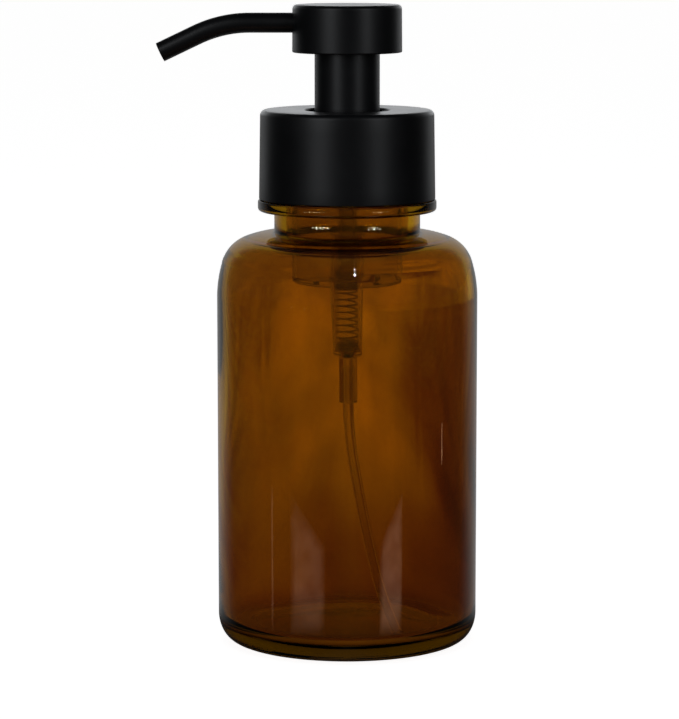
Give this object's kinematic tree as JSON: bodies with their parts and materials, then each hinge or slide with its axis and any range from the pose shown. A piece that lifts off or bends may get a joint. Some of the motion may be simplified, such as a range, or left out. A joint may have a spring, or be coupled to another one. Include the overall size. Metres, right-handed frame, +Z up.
{
  "type": "soap pump dispenser",
  "caption": "Amber glass bottle with a screw-on foaming pump: a matte black collar, column and round head with a curved spout; pressing the head dispenses soap.",
  "frame": {"origin": "centre of the bottle's foot, on the surface it stands on", "axes": "+Z up along the bottle's axis, the spout points along -X"},
  "size_m": [0.092, 0.075, 0.1836],
  "materials": {
    "amber_glass": "clear amber, polished",
    "black_metal": "matte black powder coat",
    "black_plastic": "fine moulded",
    "natural_plastic": "natural polypropylene, milky",
    "white_plastic": "moulded",
    "tube_plastic": "natural polyethylene, translucent",
    "liner_plastic": "smooth",
    "silicone": "soft, translucent",
    "seal_rubber": "soft",
    "spring_steel": "drawn wire",
    "polished_steel": "polished",
    "nylon_mesh": "woven screen"
  },
  "bodies": {
    "bottle": {"glass_bottle": "amber_glass"},
    "pump_body": {"pump_housing": "natural_plastic", "stem_guide": "black_plastic", "neck_gasket": "seal_rubber", "valve_cage": "white_plastic", "dip_tube": "tube_plastic", "return_spring": "spring_steel"},
    "closure": {"screw_closure": "black_plastic", "collar_shell": "black_metal"},
    "piston": {"liquid_piston": "white_plastic", "piston_stem": "white_plastic", "air_piston": "white_plastic", "air_inlet_valve": "silicone", "mesh_holder": "white_plastic", "coarse_mesh": "nylon_mesh", "fine_mesh": "nylon_mesh"},
    "head": {"column_sleeve": "black_metal", "head_core": "black_plastic", "head_shell": "black_metal", "spout_tube": "black_metal", "spout_liner": "liner_plastic", "spout_o_ring": "seal_rubber"},
    "inlet_valve_ball": {"inlet_ball": "polished_steel"},
    "outlet_valve_ball": {"outlet_ball": "polished_steel"}
  },
  "joints": [
    {"name": "pump_lift", "type": "slide", "parent": "bottle", "child": "pump_body", "axis": [0, 0, 1], "range_m": [0, 0.0047]},
    {"name": "closure_turn", "type": "hinge", "parent": "pump_body", "child": "closure", "pos_m": [0, 0, 0.14], "axis": [0, 0, 1], "range_deg": [0, 400]},
    {"name": "press", "type": "slide", "parent": "pump_body", "child": "piston", "axis": [0, 0, -1], "range_m": [0, 0.012], "stiffness_N_per_m": 600, "springref_m": -0.008, "deforming": ["return_spring"]},
    {"name": "swivel", "type": "hinge", "parent": "piston", "child": "head", "pos_m": [0, 0, 0.177], "axis": [0, 0, 1], "continuous": true},
    {"name": "inlet_ball_lift", "type": "slide", "parent": "pump_body", "child": "inlet_valve_ball", "axis": [0, 0, 1], "range_m": [0, 0.0012]},
    {"name": "outlet_ball_lift", "type": "slide", "parent": "piston", "child": "outlet_valve_ball", "axis": [0, 0, 1], "range_m": [0, 0.0012]}
  ],
  "couplings": [
    {"joint": "pump_lift", "follows": "closure_turn", "m_per_rad": 0.00066845}
  ]
}
